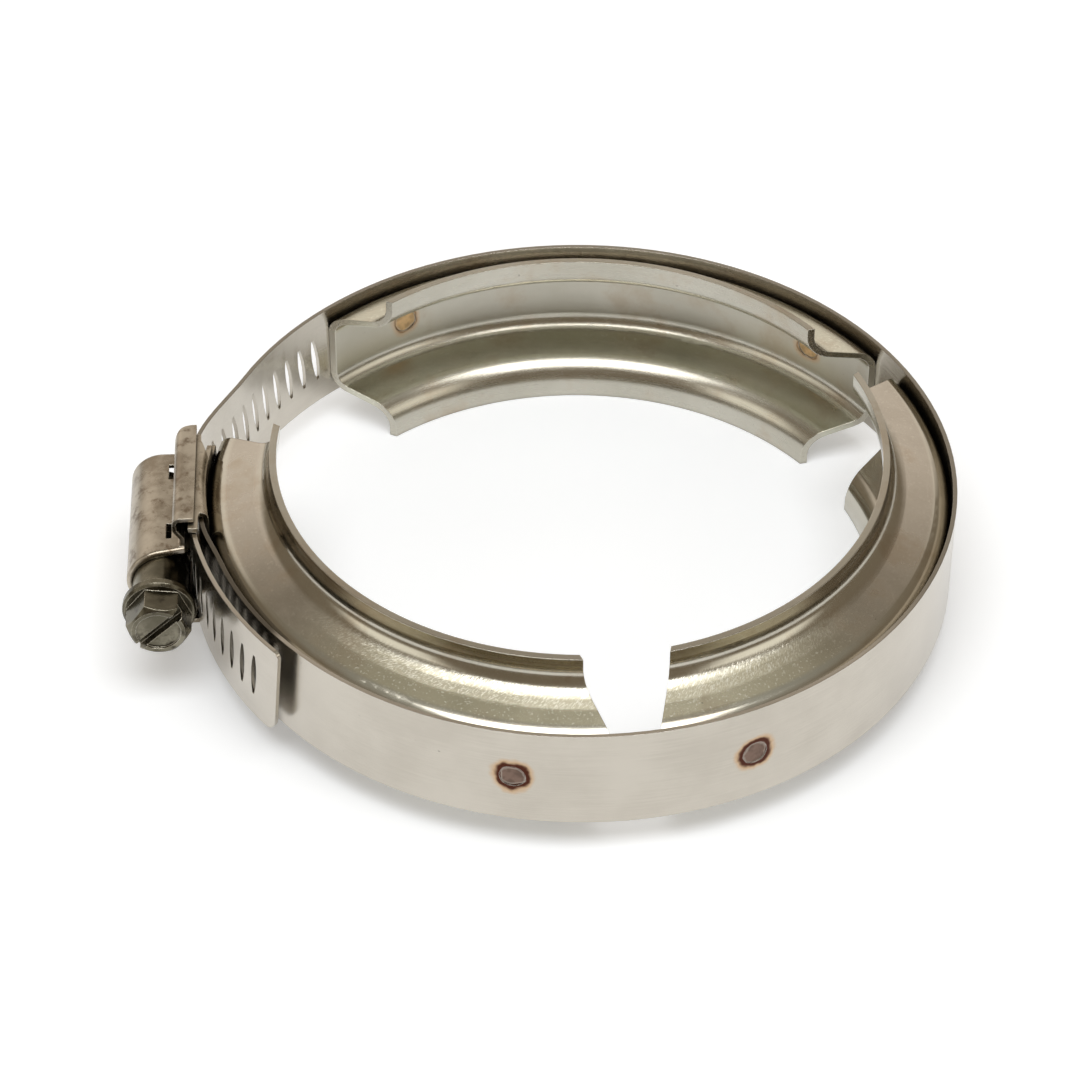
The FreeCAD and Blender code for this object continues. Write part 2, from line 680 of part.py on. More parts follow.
def build_shell():
    body = new_body("housing_shell")
    section = add_sketch(body, "shell_section", "XZ_Plane", shell_outline(), -SHELL_FRONT)
    bead_end = SHELL_REAR - size("bead_overhang")
    add_pad(body, "shell_pressing", section, SHELL_FRONT - bead_end)

    # Between the beads the shell ends a little sooner than they do.
    low = SHELL_FOOT - size("shell_sheet")
    high = SCREW_AXIS + SHELL_INNER + 2 * size("shell_sheet")
    inner = BEAD_SLOPE_START
    window = polygon([point(low, -inner), point(high, -inner), point(high, inner), point(low, inner)])
    add_pocket(body, "shell_rear_trim", add_sketch(body, "shell_rear_window", "XZ_Plane", window, -SHELL_REAR), reverse=True)

    # The beads' rear corners are rounded.
    crest = BEAD_UNDER + size("shell_sheet")
    corner = size("bead_corner_radius")
    corners = [point(crest, bead_end + corner), point(crest, bead_end), point(crest - corner, bead_end)]
    waste = rounded_chain(corners, [corner])
    waste += open_polygon([corners[2], point(crest - corner, bead_end - corner), point(crest + corner, bead_end - corner),
                           point(crest + corner, bead_end + corner), corners[0]])
    cut_both_walls(body, "bead_corner", waste, inner)

    # The press has lanced both sides of the dome above the beads, near the front and near the rear.
    low = SHELL_FOOT + size("lance_foot")
    high = low + size("lance_height")
    half = size("lance_length") / 2
    for name, middle in (("front", size("lance_reach")), ("rear", -size("lance_reach"))):
        window = polygon([point(low, middle - half), point(high, middle - half), point(high, middle + half),
                          point(low, middle + half)])
        add_pocket(body, "%s_lances" % name, add_sketch(body, "%s_lance_outline" % name, "XY_Plane", window), both_ways=True)

    add_neck(body, "rear_neck", SHELL_REAR, SHELL_REAR - size("rear_neck_length"), CORE_RADIUS + size("rear_neck_margin"))
    add_front_neck(body)
    turn_to(body, "Sizes.housing_middle_angle")
    return body


# The screw is one turned piece: a threaded worm, a collar that runs in the shell's front neck,
# a washer face, and a slotted hexagon head with a shallow round recess. Its own frame has X
# outwards from the ring and Y along the screw, with the thread's middle at the origin.
def shank_profile():
    edge = size("washer_edge_chamfer")
    washer = HEX_CORNER + size("washer_overhang")
    return polygon([point(0, CORE_REAR), point(CORE_RADIUS - edge, CORE_REAR), point(CORE_RADIUS, CORE_REAR + edge),
                    point(CORE_RADIUS, COLLAR_START), point(COLLAR_RADIUS, COLLAR_START),
                    point(COLLAR_RADIUS, WASHER_START), point(washer - edge, WASHER_START),
                    point(washer, WASHER_START + edge), point(washer, WASHER_END - edge),
                    point(washer - edge, WASHER_END), point(0, WASHER_END)])


def tooth_outline():
    """The tooth where the thread starts, rooted inside the core and half a turn from the strap's side."""
    crest = size("thread_crest_width") / 2
    root_radius = CORE_RADIUS - crest
    root = crest + (CREST_RADIUS - root_radius) * math.tan(math.radians(size("thread_flank_angle")))
    return polygon([point(root_radius, THREAD_START - root), point(CREST_RADIUS, THREAD_START - crest),
                    point(CREST_RADIUS, THREAD_START + crest), point(root_radius, THREAD_START + root)])


def build_screw():
    body = new_body("worm_screw")
    shank = add_sketch(body, "shank_profile", "XY_Plane", shank_profile())
    add_revolution(body, "shank", shank, FULL_TURN)

    hexagon = [polar(HEX_CORNER, size("hex_turn_angle") + FULL_TURN / 6 * step) for step in range(6)]
    head = add_sketch(body, "hexagon_outline", "XZ_Plane", polygon(hexagon), -WASHER_END)
    add_pad(body, "hexagon", head, "Sizes.hex_height", reverse=True)

    # The hexagon's corners are turned down to a cone at the face.
    drop = (HEX_CORNER - HEX_FACE_RADIUS) * math.tan(math.radians(size("hex_cone_angle"))) + size("hex_cone_extra")
    outside = 2 * HEX_CORNER - HEX_FACE_RADIUS
    cone = polygon([point(HEX_FACE_RADIUS, HEX_FACE), point(outside, HEX_FACE - 2 * drop), point(outside, HEX_FACE)])
    cone_sketch = add_sketch(body, "hexagon_cone_profile", "XY_Plane", cone)
    turned = add_feature(body, "Groove", "hexagon_cone", cone_sketch)
    turned.ReferenceAxis = (cone_sketch, ["V_Axis"])
    turned.Angle = FULL_TURN
    DOC.recompute()

    recess_radius = HEX_FACE_RADIUS - size("face_rim_width")
    recess = add_sketch(body, "face_recess_outline", "XZ_Plane", [Part.Circle(point(0, 0), point(0, 0, 1), recess_radius)],
                        -HEX_FACE)
    add_pocket(body, "face_recess", recess, "Sizes.face_recess_depth", reverse=True)
    turn = size("driver_slot_angle")
    side = polar(size("driver_slot_width") / 2, turn + 90)
    ends = [polar(2 * HEX_CORNER, turn), polar(-2 * HEX_CORNER, turn)]
    slot = polygon([ends[0] + side, ends[0] - side, ends[1] - side, ends[1] + side])
    driver = add_sketch(body, "driver_slot_outline", "XZ_Plane", slot, -HEX_FACE)
    add_pocket(body, "driver_slot", driver, "Sizes.driver_slot_depth", reverse=True)

    # The thread's crests face the strap where the strap's slots lie.
    tooth = add_sketch(body, "thread_tooth", "XY_Plane", tooth_outline())
    thread = add_feature(body, "AdditiveHelix", "thread", tooth)
    thread.ReferenceAxis = (tooth, ["V_Axis"])
    thread.Mode = 0
    thread.setExpression("Pitch", "Sizes.thread_pitch")
    thread.setExpression("Height", "Sizes.thread_turns * Sizes.thread_pitch")
    DOC.recompute()

    body.Placement.Base = polar(SCREW_AXIS, HOUSING)
    turn_to(body, "Sizes.housing_middle_angle")
    return body


def check_and_write(pieces):
    """Stops on any object that did not compute, then writes one STEP file for each piece."""
    DOC.recompute()
    for item in DOC.Objects:
        if "Invalid" in item.State or "Error" in item.State:
            raise RuntimeError("%s did not compute: %s" % (item.Name, item.State))
    for piece in pieces:
        if piece.Shape.isNull() or not piece.Shape.isValid() or len(piece.Shape.Solids) != 1:
            raise RuntimeError("%s is not one valid solid" % piece.Label)
    os.makedirs("parts", exist_ok=True)
    for piece in pieces:
        piece.Shape.exportStep("parts/%s.step" % piece.Label)
        print(piece.Label, round(piece.Shape.Volume, 2), "cubic millimetres")


PIECES = [build_band()]
PIECES += [build_segment(side) for side in SEGMENT_SIDES]
PIECES += [build_saddle(), build_shell(), build_screw()]
check_and_write(PIECES)
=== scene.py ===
import bpy
import math
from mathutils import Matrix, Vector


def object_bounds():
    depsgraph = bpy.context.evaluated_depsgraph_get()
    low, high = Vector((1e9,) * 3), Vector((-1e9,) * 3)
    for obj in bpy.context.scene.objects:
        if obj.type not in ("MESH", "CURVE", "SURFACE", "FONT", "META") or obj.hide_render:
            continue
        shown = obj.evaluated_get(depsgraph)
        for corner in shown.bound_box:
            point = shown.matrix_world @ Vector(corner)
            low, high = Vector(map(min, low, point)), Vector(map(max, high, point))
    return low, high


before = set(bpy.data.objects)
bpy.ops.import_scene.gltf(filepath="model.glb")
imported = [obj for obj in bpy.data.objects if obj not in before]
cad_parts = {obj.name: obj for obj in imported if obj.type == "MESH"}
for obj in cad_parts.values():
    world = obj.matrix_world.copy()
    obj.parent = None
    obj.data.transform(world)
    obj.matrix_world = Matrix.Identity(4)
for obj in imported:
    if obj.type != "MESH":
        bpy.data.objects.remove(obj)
cad_box = [list(corner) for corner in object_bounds()]

# The band
# A single strip of bright cold-rolled stainless steel, 16 mm wide, bent to a ring round the three
# V segments. Its cut edges are bare, and each spot weld through it to a segment has left a round
# nugget inside a ring of heat colours.
RING_RADIUS = 0.0534
BAND_HALF_WIDTH = 0.008
BAND_WELD_RADIUS = 0.05366
WELD_AZIMUTHS = {"rear": (48.65, 120.95), "right": (-63.5, 13.3), "left": (184.2, 260.8)}
COLD_ROLLED = ((0.510, 0.472, 0.410, 1), (0.585, 0.545, 0.478, 1))
BAND_SPECK = (0.10, 0.085, 0.07, 1)
# Lighter rubbed edges: partly wear, partly painted highlight.
BAND_WORN_SHEEN = (0.66, 0.63, 0.58, 1)
BAND_NUGGET = (0.185, 0.125, 0.098, 1)
BAND_HEAT_RING = (0.075, 0.022, 0.012, 1)
BAND_HEAT_HALO = (0.56, 0.36, 0.19, 1)
SHEARED = (0.09, 0.08, 0.06, 1)
# Painted shade in the corners, with some grime.
CORNER_SHADE_AND_GRIME = (0.045, 0.036, 0.024, 1)
# Painted shade under the free tail.
UNDER_TAIL_SHADE = (0.06, 0.05, 0.035, 1)
# Where an effect starts and where it is full. Ways along the ring are counted from the right,
# and are positive round the rear and negative round the front.
INNER_LAYER_RADII = (0.0547, 0.0543)
TAIL_FIRST_WAYS = (-0.1640, -0.1610)
TAIL_LAST_WAYS = (-0.1290, -0.1320)
# Painted shade on the band's cut edges, light round the front and dark round the right and rear.
SHADED_EDGE_WAYS = (-0.045, -0.020)


def add(tree, kind, inputs=(), **settings):
    """Adds a node. Each input pairs a socket with a value or with the output that feeds it."""
    made = tree.nodes.new("ShaderNode" + kind)
    for name, value in settings.items():
        setattr(made, name, value)
    for socket, value in inputs:
        if isinstance(value, bpy.types.NodeSocket):
            tree.links.new(value, made.inputs[socket])
        else:
            made.inputs[socket].default_value = value
    return made


def use(tree, group, inputs=()):
    """Places a node group, and returns its outputs."""
    return add(tree, "Group", inputs, node_tree=group).outputs


def object_place(tree):
    """The shaded point's place, in metres."""
    return add(tree, "TexCoord").outputs["Object"]


def count(tree, operation, *values):
    """A Math node's result."""
    return add(tree, "Math", list(enumerate(values)), operation=operation).outputs[0]


def times(tree, first, second):
    """A product."""
    return count(tree, "MULTIPLY", first, second)


def rise(tree, value, start, end, low=0.0, high=1.0):
    """A smooth rise, or fall, of a value between two places."""
    ends = [("From Min", start), ("From Max", end), ("To Min", low), ("To Max", high)]
    made = add(tree, "MapRange", [("Value", value)] + ends, interpolation_type="SMOOTHSTEP")
    return made.outputs["Result"]


def mix(tree, share, first, second):
    """Mixes two numbers."""
    return add(tree, "Mix", [("Factor", share), (2, first), (3, second)]).outputs[0]


def blend(tree, share, first, second):
    """Mixes two colours."""
    colours = [("Factor", share), (6, first), (7, second)]
    return add(tree, "Mix", colours, data_type="RGBA").outputs[2]


def clouded(tree, cloud, shades):
    """A colour that drifts between two shades with the grain's clouds."""
    return blend(tree, rise(tree, cloud, 0.35, 0.65), *shades)


def noise(tree, place, scale, detail=2.0, roughness=0.5):
    """A noise texture's value, with its scale in features a metre."""
    inputs = [("Vector", place), ("Scale", scale), ("Detail", detail), ("Roughness", roughness)]
    return add(tree, "TexNoise", inputs).outputs["Fac"]


def shader_group(name, inputs, outputs):
    """A new node group, the sockets of its inputs and those of its outputs."""
    group = bpy.data.node_groups.new(name, "ShaderNodeTree")
    for label, kind, value in inputs:
        made = group.interface.new_socket(
            name=label, in_out="INPUT", socket_type="NodeSocket" + kind)
        made.default_value = value
    for label, kind in outputs:
        group.interface.new_socket(name=label, in_out="OUTPUT", socket_type="NodeSocket" + kind)
    given = group.nodes.new("NodeGroupInput").outputs
    result = group.nodes.new("NodeGroupOutput").inputs
    return group, given, result


def ring_place_group():
    """Where a point lies: its way along the ring, its radius and its height from the middle."""
    group, _, result = shader_group(
        "ring_place", [], [("Along", "Float"), ("Radius", "Float"), ("Height", "Float")])
    place = object_place(group)
    split = add(group, "SeparateXYZ", [("Vector", place)]).outputs
    turn = count(group, "ARCTAN2", split["Y"], split["X"])
    flat = add(group, "VectorMath", [(0, place), (1, (1, 1, 0))], operation="MULTIPLY").outputs[0]
    radius = add(group, "VectorMath", [(0, flat)], operation="LENGTH").outputs["Value"]
    group.links.new(times(group, turn, RING_RADIUS), result["Along"])
    group.links.new(radius, result["Radius"])
    group.links.new(count(group, "ABSOLUTE", split["Z"]), result["Height"])
    return group


def rolling_grain_group():
    """Fine streaks along the ring, broad cloudy variation, and sparse dark specks."""
    group, given, result = shader_group(
        "rolling_grain",
        [("Streaks along", "Float", 90.0), ("Streaks across", "Float", 5200.0),
         ("Cloud scale", "Float", 70.0), ("Speck scale", "Float", 900.0)],
        [("Grain", "Float"), ("Cloud", "Float"), ("Specks", "Float")])
    place = object_place(group)
    height = add(group, "SeparateXYZ", [("Vector", place)]).outputs["Z"]
    where = use(group, RING_PLACE)
    along = times(group, where["Along"], given["Streaks along"])
    wide = times(group, height, given["Streaks across"])
    deep = times(group, where["Radius"], given["Streaks across"])
    strip = add(group, "CombineXYZ", [("X", along), ("Y", wide), ("Z", deep)]).outputs["Vector"]
    speck = noise(group, place, given["Speck scale"])
    group.links.new(noise(group, strip, 1.0, 3.0, 0.6), result["Grain"])
    group.links.new(noise(group, place, given["Cloud scale"], 5.0, 0.6), result["Cloud"])
    group.links.new(rise(group, speck, 0.755, 0.80), result["Specks"])
    return group


def edge_and_corner_group():
    """Softens sharp edges a little and finds them, for a lighter colour that is partly rubbed wear
    and partly painted highlight. It also finds the corners by ambient occlusion, for painted shade
    that also stands for some old oil and dirt."""
    group, given, result = shader_group(
        "edge_and_corner", [("Radius", "Float", 0.00015), ("Corner reach", "Float", 0.0012)],
        [("Normal", "Vector"), ("Wear and sheen", "Float"), ("Corner shade and grime", "Float")])
    soft = add(group, "Bevel", [("Radius", given["Radius"])], samples=6).outputs["Normal"]
    sharp = add(group, "NewGeometry").outputs["Normal"]
    same = add(group, "VectorMath", [(0, soft), (1, sharp)], operation="DOT_PRODUCT")
    # Ambient occlusion finds the corners for painted shade.
    open_air = add(group, "AmbientOcclusion", [("Distance", given["Corner reach"])], samples=8)
    group.links.new(soft, result["Normal"])
    group.links.new(rise(group, same.outputs["Value"], 0.97, 0.80), result["Wear and sheen"])
    group.links.new(rise(group, open_air.outputs["AO"], 0.80, 0.35), result["Corner shade and grime"])
    return group


def weld_heat_group():
    """Heat colours round a spot weld, from the distance to its middle in metres."""
    group, given, result = shader_group(
        "weld_heat",
        [("Distance", "Float", 1.0), ("Steel", "Color", COLD_ROLLED[1]),
         ("Nugget", "Color", BAND_NUGGET), ("Ring", "Color", BAND_HEAT_RING),
         ("Halo", "Color", BAND_HEAT_HALO), ("Nugget radius", "Float", 0.00178),
         ("Ring radius", "Float", 0.00255), ("Halo radius", "Float", 0.0034)],
        [("Color", "Color"), ("Burn", "Float"), ("Height", "Float")])
    place = object_place(group)
    ragged = rise(group, noise(group, place, 420.0), 0.2, 0.8, -0.00036, 0.00036)
    reach = count(group, "ADD", given["Distance"], ragged)
    inner = count(group, "SUBTRACT", reach, given["Nugget radius"])
    outer = count(group, "SUBTRACT", reach, given["Ring radius"])
    halo = rise(group, reach, given["Ring radius"], given["Halo radius"], 0.75, 0.0)
    burn = rise(group, outer, -0.00035, 0.00022, 1.0, 0.0)
    core = rise(group, inner, -0.00008, 0.00012, 1.0, 0.0)
    rim = times(group, rise(group, inner, -0.00035, -0.00010), core)
    patchy = rise(group, noise(group, place, 900.0), 0.35, 0.65, 0.75, 1.1)
    nugget = add(group, "VectorMath", [(0, given["Nugget"]), ("Scale", patchy)], operation="SCALE")
    nugget = blend(group, times(group, rim, 0.35), nugget.outputs["Vector"], given["Steel"])
    colour = blend(group, halo, given["Steel"], given["Halo"])
    colour = blend(group, burn, colour, given["Ring"])
    group.links.new(blend(group, core, colour, nugget), result["Color"])
    group.links.new(burn, result["Burn"])
    group.links.new(rim, result["Height"])
    return group


RING_PLACE = ring_place_group()
ROLLING_GRAIN = rolling_grain_group()
EDGE_AND_CORNER = edge_and_corner_group()
WELD_HEAT = weld_heat_group()


def steel(name):
    """A new metal material, its nodes and its Principled shader."""
    made = bpy.data.materials.new(name)
    made.use_nodes = True
    shader = made.node_tree.nodes["Principled BSDF"]
    shader.inputs["Metallic"].default_value = 1.0
    return made.node_tree, shader, made


def dress(node, material):
    """Gives a CAD node its material."""
    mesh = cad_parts[node].data
    mesh.materials.clear()
    mesh.materials.append(material)
    for face in mesh.polygons:
        face.material_index = 0


def nearest_weld(tree, azimuths, radius):
    """Distance from the shaded point to the nearest of the welds."""
    place = object_place(tree)
    nearest = None
    for azimuth in azimuths:
        turn = math.radians(azimuth)
        centre = (radius * math.cos(turn), radius * math.sin(turn), 0.0)
        distance = add(tree, "VectorMath", [(0, place), (1, centre)], operation="DISTANCE")
        distance = distance.outputs["Value"]
        nearest = distance if nearest is None else count(tree, "MINIMUM", nearest, distance)
    return nearest


def cut_edge(tree, half_width, shade, colour):
    """Darkens the sheared faces at the top and the bottom of a strip."""
    height = use(tree, RING_PLACE)["Height"]
    sheared = rise(tree, height, half_width - 0.00006, half_width - 0.00002)
    return blend(tree, times(tree, sheared, shade), colour, SHEARED)


def finish_steel(tree, shader, colour, gloss, height, depth, edge_radius, worn_sheen, shade_and_grime):
    """Feeds a steel's shader, with painted shade and some grime in its corners, and its edges
    softened and lightened with wear and painted highlight.
    """
    edge = use(tree, EDGE_AND_CORNER, [("Radius", edge_radius)])
    # Painted shade in the corners, with some grime, then the edges lightened by wear and painted
    # highlight.
    colour = blend(tree, times(tree, edge["Corner shade and grime"], shade_and_grime), colour, CORNER_SHADE_AND_GRIME)
    colour = blend(tree, times(tree, edge["Wear and sheen"], 0.85), colour, worn_sheen)
    bump = add(tree, "Bump", [("Strength", 1.0), ("Distance", depth), ("Height", height),
                              ("Normal", edge["Normal"])])
    tree.links.new(colour, shader.inputs["Base Color"])
    tree.links.new(gloss, shader.inputs["Roughness"])
    tree.links.new(bump.outputs["Normal"], shader.inputs["Normal"])


tree, shader, band_steel = steel("band_steel")
where = use(tree, RING_PLACE)
grain = use(tree, ROLLING_GRAIN)
mixed = count(tree, "MULTIPLY_ADD", grain["Grain"], 0.35, times(tree, grain["Cloud"], 0.65))
colour = blend(tree, rise(tree, mixed, 0.36, 0.64), *COLD_ROLLED)
colour = blend(tree, times(tree, grain["Specks"], 0.4), colour, BAND_SPECK)
# Painted shade darkens the inner layer where the free tail covers it.
inner = rise(tree, where["Radius"], *INNER_LAYER_RADII)
covered = times(tree, rise(tree, where["Along"], *TAIL_FIRST_WAYS),
                rise(tree, where["Along"], *TAIL_LAST_WAYS))
colour = blend(tree, times(tree, times(tree, inner, covered), 0.85), colour, UNDER_TAIL_SHADE)
azimuths = [azimuth for pair in WELD_AZIMUTHS.values() for azimuth in pair]
heat = use(tree, WELD_HEAT, [("Distance", nearest_weld(tree, azimuths, BAND_WELD_RADIUS)),
                             ("Steel", colour)])
gloss = mix(tree, heat["Burn"], rise(tree, mixed, 0.30, 0.70, 0.17, 0.25), 0.40)
height = count(tree, "MULTIPLY_ADD", heat["Height"], 6.0, grain["Grain"])
# Painted shade: the band's cut edges are darker from the right round the rear, lighter round the
# front.
painted_edge_shade = rise(tree, where["Along"], *SHADED_EDGE_WAYS, 0.15, 0.62)
colour = cut_edge(tree, BAND_HALF_WIDTH, painted_edge_shade, heat["Color"])
finish_steel(tree, shader, colour, gloss, height,
             depth=0.0000025, edge_radius=0.0001, worn_sheen=BAND_WORN_SHEEN, shade_and_grime=0.5)
dress("band", band_steel)

# The three V segments
# Strips of stainless steel, 1 mm thick, pressed to a hat section and rolled to the ring. The
# tools have burnished the bends bright, and have drawn fine slanted stretch marks at the front
# where the flanges begin to curl. The flanges are dull, and the front ones have an orange peel.
# The marks' bright lines and the peel's glints are painted highlights in the colour.
SEGMENT_WELD_RADIUS = 0.05206
SEGMENT_HALF_WIDTH = -cad_box[0][2]
# The front's khaki is lighter than the rosy sides: partly the steel's tint, partly painted light.
ROSY = ((0.420, 0.382, 0.322, 1), (0.520, 0.480, 0.415, 1))
KHAKI = ((0.560, 0.515, 0.385, 1), (0.680, 0.635, 0.490, 1))
OLIVE = ((0.540, 0.530, 0.435, 1), (0.610, 0.600, 0.505, 1))
BURNISHED = ((0.490, 0.465, 0.395, 1), (0.560, 0.535, 0.465, 1))
TAN_STAIN = (0.38, 0.29, 0.19, 1)
SEGMENT_SPECK = (0.07, 0.055, 0.04, 1)
# Lighter rubbed edges: partly wear, partly painted highlight.
SEGMENT_WORN_SHEEN = (0.70, 0.67, 0.60, 1)
# Painted highlight for the glints and the stretch marks' bright lines.
PAINTED_GLINT = (0.98, 0.96, 0.86, 1)
SEGMENT_HEAT = [("Nugget", (0.55, 0.37, 0.19, 1)), ("Ring", (0.20, 0.095, 0.04, 1)),
                ("Halo", (0.55, 0.40, 0.26, 1)), ("Nugget radius", 0.0017),
                ("Ring radius", 0.0020), ("Halo radius", 0.0030)]
# Radii of the section, and half heights of its web, where a region starts and where it is full
WEB_RADII = (0.0508, 0.0514)
WEB_HALF_HEIGHTS = (0.0044, 0.0036)
WEB_BEND_RADII = (0.0500, 0.0508)
CURL_RADII = (0.0464, 0.0450)
MARKS_INNER_RADII = (0.0446, 0.0456)
MARKS_OUTER_RADII = (0.0484, 0.0474)
# Ways along the ring to either side of the front
FRONT_REACH = (0.052, 0.028)


def segment_steel(side):
    """One segment's material. The front's flanges are hammered, the rear's bends are duller."""
    tree, shader, material = steel(side + "_segment_steel")
    place = object_place(tree)
    where = use(tree, RING_PLACE)
    grain = use(tree, ROLLING_GRAIN, [("Streaks along", 140.0), ("Streaks across", 3000.0),
                                      ("Cloud scale", 55.0)])
    web = times(tree, rise(tree, where["Radius"], *WEB_RADII),
                rise(tree, where["Height"], *WEB_HALF_HEIGHTS))
    web_bend = count(tree, "SUBTRACT", rise(tree, where["Radius"], *WEB_BEND_RADII), web)
    burnished = count(tree, "MAXIMUM", rise(tree, where["Radius"], *CURL_RADII), web_bend)
    from_front = count(tree, "ADD", where["Along"], 0.5 * math.pi * RING_RADIUS)
    front = rise(tree, count(tree, "ABSOLUTE", from_front), *FRONT_REACH)

    if side == "rear":
        plain = clouded(tree, grain["Cloud"], OLIVE)
        orange_peel, least_peel, bend_gloss = 0.45, 0.8, 0.22
    else:
        # Lighter khaki round the front: partly tint, partly painted light.
        plain = blend(tree, front, clouded(tree, grain["Cloud"], ROSY),
                      clouded(tree, grain["Cloud"], KHAKI))
        orange_peel = count(tree, "MULTIPLY_ADD", front, 0.85, 0.15)
        least_peel, bend_gloss = 0.25, 0.12
    bright = clouded(tree, grain["Cloud"], BURNISHED)
    colour = blend(tree, web, blend(tree, burnished, plain, bright), bright)
    stain = rise(tree, noise(tree, place, 110.0, 5.0, 0.65), 0.48, 0.70)
    colour = blend(tree, times(tree, stain, 0.45), colour, TAN_STAIN)
    colour = blend(tree, times(tree, grain["Specks"], 0.6), colour, SEGMENT_SPECK)

    # The stretch marks run slantwise across the start of the curl. Their bright lines, and the
    # glints on the orange peel, are painted highlights.
    across = times(tree, count(tree, "ADD", where["Along"], where["Radius"]), 6500.0)
    along = times(tree, count(tree, "SUBTRACT", where["Along"], where["Radius"]), 1300.0)
    slant = add(tree, "CombineXYZ", [("X", across), ("Y", along), ("Z", 0.5)]).outputs["Vector"]
    marks = noise(tree, slant, 1.0, 1.0)
    marked = times(tree, rise(tree, where["Radius"], *MARKS_INNER_RADII),
                   rise(tree, where["Radius"], *MARKS_OUTER_RADII))
    marked = times(tree, marked, front)
    bright_mark_lines = times(tree, rise(tree, marks, 0.50, 0.66), marked)
    peel = noise(tree, place, 2600.0, 2.0, 0.7)
    dull = count(tree, "SUBTRACT", 1.0, count(tree, "MAXIMUM", burnished, web))
    speckled = times(tree, dull, orange_peel)
    glints = times(tree, rise(tree, peel, 0.58, 0.70), speckled)
    painted_shine = times(tree, count(tree, "MAXIMUM", bright_mark_lines, glints), 0.85)
    colour = blend(tree, painted_shine, colour, PAINTED_GLINT)

    welds = nearest_weld(tree, WELD_AZIMUTHS[side], SEGMENT_WELD_RADIUS)
    heat = use(tree, WELD_HEAT, [("Distance", welds), ("Steel", colour)] + SEGMENT_HEAT)
    height = times(tree, peel, count(tree, "MULTIPLY_ADD", speckled, 0.9, least_peel))
    height = count(tree, "MULTIPLY_ADD", times(tree, marks, marked), 5.0, height)
    height = count(tree, "MULTIPLY_ADD", heat["Height"], 2.0, height)
    gloss = mix(tree, burnished, rise(tree, grain["Cloud"], 0.3, 0.7, 0.20, 0.28),
                rise(tree, grain["Grain"], 0.3, 0.7, bend_gloss, bend_gloss + 0.07))
    gloss = count(tree, "MULTIPLY_ADD", marked, 0.12, gloss)
    gloss = mix(tree, heat["Burn"], mix(tree, web, gloss, 0.36), 0.38)
    colour = cut_edge(tree, SEGMENT_HALF_WIDTH, 0.3, heat["Color"])
    finish_steel(tree, shader, colour, gloss, height,
                 depth=0.000007, edge_radius=0.00016, worn_sheen=SEGMENT_WORN_SHEEN, shade_and_grime=0.45)
    return material


for side in WELD_AZIMUTHS:
    dress("v_segment_" + side, segment_steel(side))

# The saddle and the housing shell
# Both are stamped from softer stainless sheet, which came from the press a warm grey-brown. Oil
# and years in a box of clamps have mottled them. Their rolled edges are lighter, partly rubbed
# bright and partly painted highlight, and their corners carry painted shade with some grime.
SADDLE_SHADES = ((0.25, 0.21, 0.155, 1), (0.50, 0.45, 0.365, 1))
SHELL_SHADES = ((0.24, 0.20, 0.15, 1), (0.51, 0.46, 0.38, 1))
BROWN_SPOT = (0.16, 0.115, 0.075, 1)
STAMPED_SPECK = (0.05, 0.04, 0.03, 1)
# Lighter rubbed edges: partly wear, partly painted highlight.
STAMPED_WORN_SHEEN = (0.70, 0.66, 0.56, 1)


def mottled_steel(name, shades, spot, edge_radius):
    """A material that wanders between two shades and has blotches of a third."""
    tree, shader, material = steel(name)
    place = object_place(tree)
    grain = use(tree, ROLLING_GRAIN, [("Streaks along", 700.0), ("Streaks across", 1500.0),
                                      ("Cloud scale", 160.0)])
    colour = clouded(tree, grain["Cloud"], shades)
    blotches = rise(tree, noise(tree, place, 420.0, 4.0, 0.65), 0.52, 0.68)
    colour = blend(tree, times(tree, blotches, 0.8), colour, spot)
    colour = blend(tree, times(tree, grain["Specks"], 0.5), colour, STAMPED_SPECK)
    gloss = rise(tree, grain["Cloud"], 0.3, 0.7, 0.20, 0.36)
    dents = times(tree, noise(tree, place, 300.0), 3.0)
    height = count(tree, "ADD", noise(tree, place, 1500.0), dents)
    finish_steel(tree, shader, colour, gloss, height,
                 depth=0.000008, edge_radius=edge_radius, worn_sheen=STAMPED_WORN_SHEEN, shade_and_grime=0.9)
    return material


dress("saddle", mottled_steel("saddle_steel", SADDLE_SHADES, BROWN_SPOT, 0.00018))
dress("housing_shell", mottled_steel("shell_steel", SHELL_SHADES, BROWN_SPOT, 0.00022))

# The worm screw
# One turned and thread-rolled piece with a slotted hexagon head. Its plain steel is darker and
# greener than the band, with painted shade and some old oil in the corners, and bright rims that
# are partly rubbed by drivers and partly painted highlight.
SCREW_SHADES = ((0.105, 0.095, 0.068, 1), (0.25, 0.23, 0.175, 1))
SCREW_SPOT = (0.04, 0.034, 0.024, 1)
dress("worm_screw", mottled_steel("screw_steel", SCREW_SHADES, SCREW_SPOT, 0.00022))

# The table
# A sheet of white paper, larger than the picture, which lies just under the clamp and keeps its
# soft shadow. To the camera it looks brighter than it is lit, by a painted glow that is weakest
# near the clamp and grows away from it. In the steel it looks a little brighter than it is lit.
WHITE_PAPER = (0.87, 0.90, 0.95, 1)
bpy.ops.object.select_all(action="DESELECT")
bpy.ops.mesh.primitive_plane_add(size=6.0, location=(0, 0, cad_box[0][2] - 0.00002))
paper = bpy.context.object
paper.name = "paper"
sheet = bpy.data.materials.new("white_paper")
sheet.use_nodes = True
tree = sheet.node_tree
shader = tree.nodes["Principled BSDF"]
shader.inputs["Base Color"].default_value = WHITE_PAPER
shader.inputs["Roughness"].default_value = 0.9
shader.inputs["Specular IOR Level"].default_value = 0.0
rays = add(tree, "LightPath").outputs
far = add(tree, "VectorMath", [(0, object_place(tree))], operation="LENGTH").outputs["Value"]
seen = times(tree, rays["Is Camera Ray"], rise(tree, far, 0.06, 0.60, 0.27, 0.9))
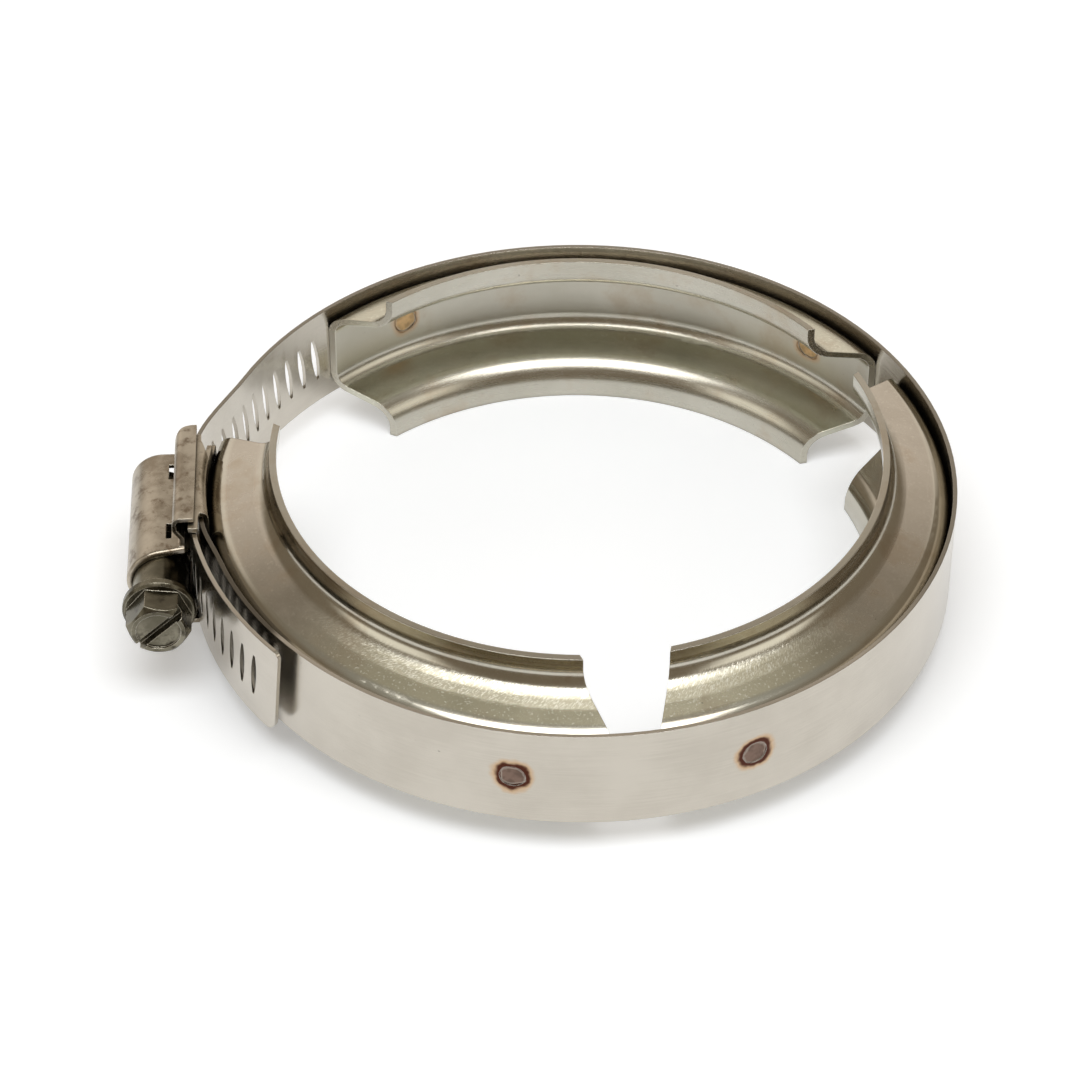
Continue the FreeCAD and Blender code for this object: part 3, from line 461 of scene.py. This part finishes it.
lift = count(tree, "ADD", seen, times(tree, rays["Is Glossy Ray"], 0.26))
glow = add(tree, "Emission", [("Color", (1, 1, 1, 1)), ("Strength", lift)])
both = add(tree, "AddShader", [(0, shader.outputs[0]), (1, glow.outputs[0])])
tree.links.new(both.outputs[0], tree.nodes["Material Output"].inputs["Surface"])
paper.data.materials.append(sheet)

# The studio
# A room seen from the table: a bright back wall and a brighter patch to each side, round a dim
# warm room with a paler ceiling, and one wide soft lamp over the front of the table.
DIM_ROOM = (0.25, 0.205, 0.15, 1)
CEILING = (0.44, 0.43, 0.38, 1)
BACK_WALL = (1.02, 0.93, 0.83, 1)
SIDE_WALL = (1.30, 1.25, 1.12, 1)
SOFT_SIDES, SOFT_ENDS = 7, 5  # degrees to either side of a window's border
world = bpy.data.worlds.new("room")
bpy.context.scene.world = world
world.use_nodes = True
tree = world.node_tree
way = add(tree, "TexCoord").outputs["Generated"]
way = add(tree, "SeparateXYZ", [("Vector", way)]).outputs
AROUND = count(tree, "DEGREES", count(tree, "ARCTAN2", way["X"], way["Y"]))
UP = count(tree, "DEGREES", count(tree, "ARCSINE", way["Z"]))


def between(value, low, high, soft):
    """A mask that is full between two angles and falls off softly at both."""
    return times(tree, rise(tree, value, low - soft, low + soft),
                 rise(tree, value, high + soft, high - soft))


def window(left, right, bottom, top, colour, room):
    """Adds a soft-edged window to the room, in degrees from the back wall's middle and up."""
    inside = times(tree, between(AROUND, left, right, SOFT_SIDES),
                   between(UP, bottom, top, SOFT_ENDS))
    return blend(tree, inside, room, colour)


room = blend(tree, rise(tree, UP, 42.0, 68.0), DIM_ROOM, CEILING)
room = window(-48.0, 32.0, 3.0, 43.0, BACK_WALL, room)
room = window(-132.0, -98.0, 14.0, 42.0, SIDE_WALL, room)
room = window(98.0, 134.0, 14.0, 42.0, SIDE_WALL, room)
tree.links.new(room, tree.nodes["Background"].inputs["Color"])
tree.nodes["Background"].inputs["Strength"].default_value = 1.0

bpy.ops.object.light_add(type="AREA", location=(0.0, -0.215, 0.700))
lamp = bpy.context.object
lamp.name = "wide_lamp"
lamp.data.shape = "RECTANGLE"
lamp.data.size = 0.62
lamp.data.size_y = 0.42
lamp.data.energy = 3.2
lamp.rotation_euler = (-lamp.location).to_track_quat("-Z", "Y").to_euler()

# The camera
# It stands where the photographer stood, 0.55 m away and 41 degrees above the table.
CAMERA_TURN = [math.radians(angle) for angle in (48.4536, -0.0168, 0.7858)]
bpy.ops.object.camera_add(location=(0.0, -0.415456, 0.363410), rotation=CAMERA_TURN)
camera = bpy.context.object
camera.data.lens = 128.0
camera.data.sensor_width = 36.0
camera.data.clip_start = 0.01
bpy.context.scene.camera = camera
bpy.context.scene.view_settings.view_transform = "Standard"
